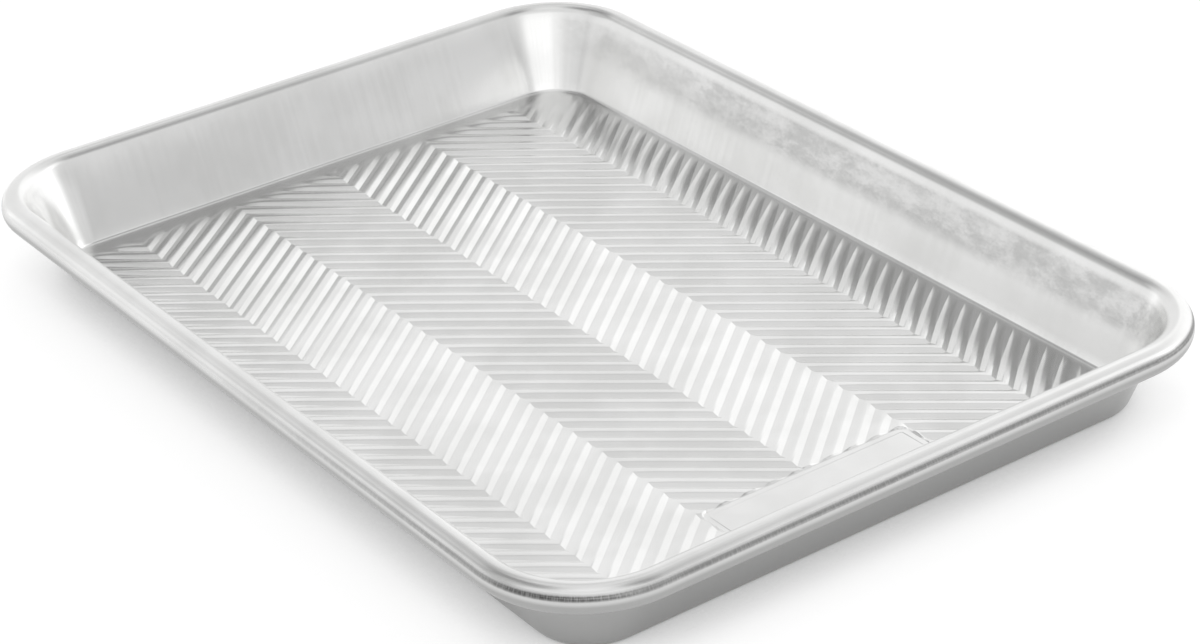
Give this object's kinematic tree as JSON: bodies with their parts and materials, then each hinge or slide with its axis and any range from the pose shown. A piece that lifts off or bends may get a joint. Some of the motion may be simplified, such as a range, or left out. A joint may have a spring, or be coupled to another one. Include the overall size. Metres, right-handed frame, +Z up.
{
  "type": "sheet pan",
  "caption": "Shallow rectangular aluminium sheet pan with sloped walls, a chevron-ribbed floor and a rim rolled round a steel wire.",
  "frame": {"origin": "middle of the pan on the surface it stands on", "axes": "+X along the long side towards the bare plate, +Y along the short side, +Z up out of the pan"},
  "size_m": [0.33, 0.241, 0.029],
  "materials": {
    "aluminium_sheet": "satin, lightly scuffed",
    "steel_wire": "plain drawn"
  },
  "bodies": {
    "root": {"pressed_pan": "aluminium_sheet", "rim_wire": "steel_wire"}
  },
  "joints": []
}
